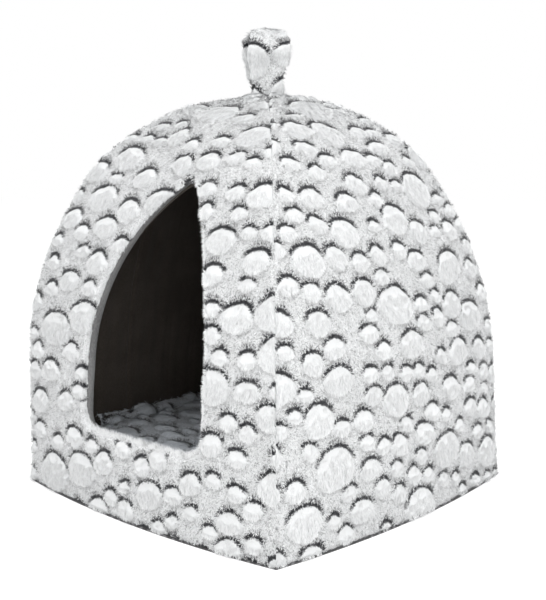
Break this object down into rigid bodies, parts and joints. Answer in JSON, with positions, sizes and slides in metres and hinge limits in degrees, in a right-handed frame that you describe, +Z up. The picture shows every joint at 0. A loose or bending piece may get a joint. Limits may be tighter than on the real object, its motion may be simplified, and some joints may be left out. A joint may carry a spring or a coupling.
{
  "type": "cat cave bed",
  "caption": "Soft house for a cat: four padded plush panels rising to a peak, pointed doorway, loose cushion and a carry loop on top.",
  "frame": {"origin": "middle of the underside, on the surface that the bed stands on", "axes": "+Z up, the doorway faces -Y, +X to the right of someone who looks in at the doorway"},
  "size_m": [0.4018, 0.4018, 0.488],
  "materials": {
    "plush": "long soft pile, raised white pebbles with dark edges on pale grey",
    "foam": "open-cell foam sheet",
    "lining_cloth": "dark brown-grey brushed cloth, matt",
    "facing_cloth": "mid-grey brushed cloth strip, matt",
    "underside_cloth": "dark woven cloth with small grip dots",
    "filling": "polyester wadding"
  },
  "bodies": {
    "cave": {"right_cover": "plush", "back_cover": "plush", "left_cover": "plush", "front_cover_left": "plush", "front_cover_right": "plush", "front_foam": "foam", "right_foam": "foam", "back_foam": "foam", "left_foam": "foam", "front_lining": "lining_cloth", "right_lining": "lining_cloth", "back_lining": "lining_cloth", "left_lining": "lining_cloth", "doorway_facing": "facing_cloth", "base_cover": "underside_cloth", "base_foam": "foam", "floor_lining": "lining_cloth"},
    "cushion": {"cushion_top": "plush", "cushion_base": "underside_cloth", "cushion_filling": "filling"},
    "carry_loop": {"carry_loop": "plush"}
  },
  "joints": [
    {"name": "cushion_lift", "type": "slide", "parent": "cave", "child": "cushion", "axis": [0, 0, 1], "range_m": [0, 0.1]},
    {"name": "loop_swing", "type": "hinge", "parent": "cave", "child": "carry_loop", "pos_m": [0, 0, 0.4283], "axis": [0.5736, 0.8192, 0], "range_deg": [-70, 70], "stiffness_Nm_per_rad": 0.02}
  ]
}
